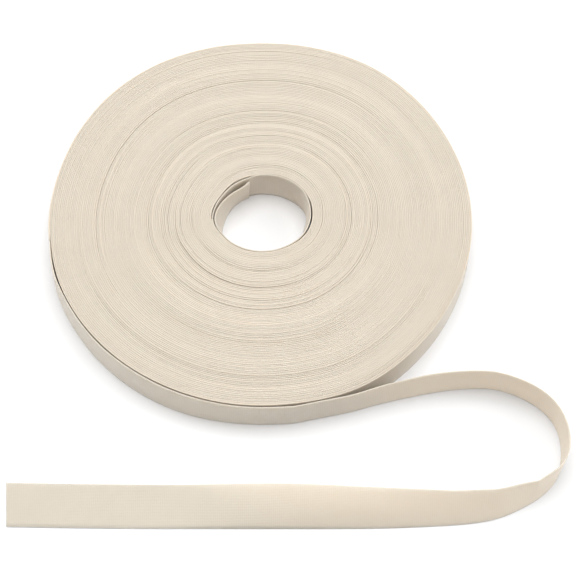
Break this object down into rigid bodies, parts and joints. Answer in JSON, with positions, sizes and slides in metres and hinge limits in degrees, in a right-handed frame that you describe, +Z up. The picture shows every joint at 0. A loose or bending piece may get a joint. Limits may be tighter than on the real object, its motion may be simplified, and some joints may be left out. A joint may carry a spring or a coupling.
{
  "type": "roll of cotton tape",
  "caption": "Coreless roll of narrow woven cotton tape lying flat, its outer end looped beside it and laid out in front, its inner end loose in the hole.",
  "frame": {"origin": "on the surface that the roll lies on, under the middle of the whole object's box", "axes": "+Z up, along the roll's winding axis; +X to the right, the way the tape leaves the roll; +Y away, from the laid out end towards the roll"},
  "size_m": [0.1815, 0.1724, 0.0153],
  "materials": {
    "wound_cotton": "the edges of the wound turns, matt and slightly fibrous",
    "cotton_tape": "fine plain weave, unbleached and matt"
  },
  "bodies": {
    "root": {"roll": "wound_cotton", "tail": "cotton_tape", "inner_end": "cotton_tape"}
  },
  "joints": []
}
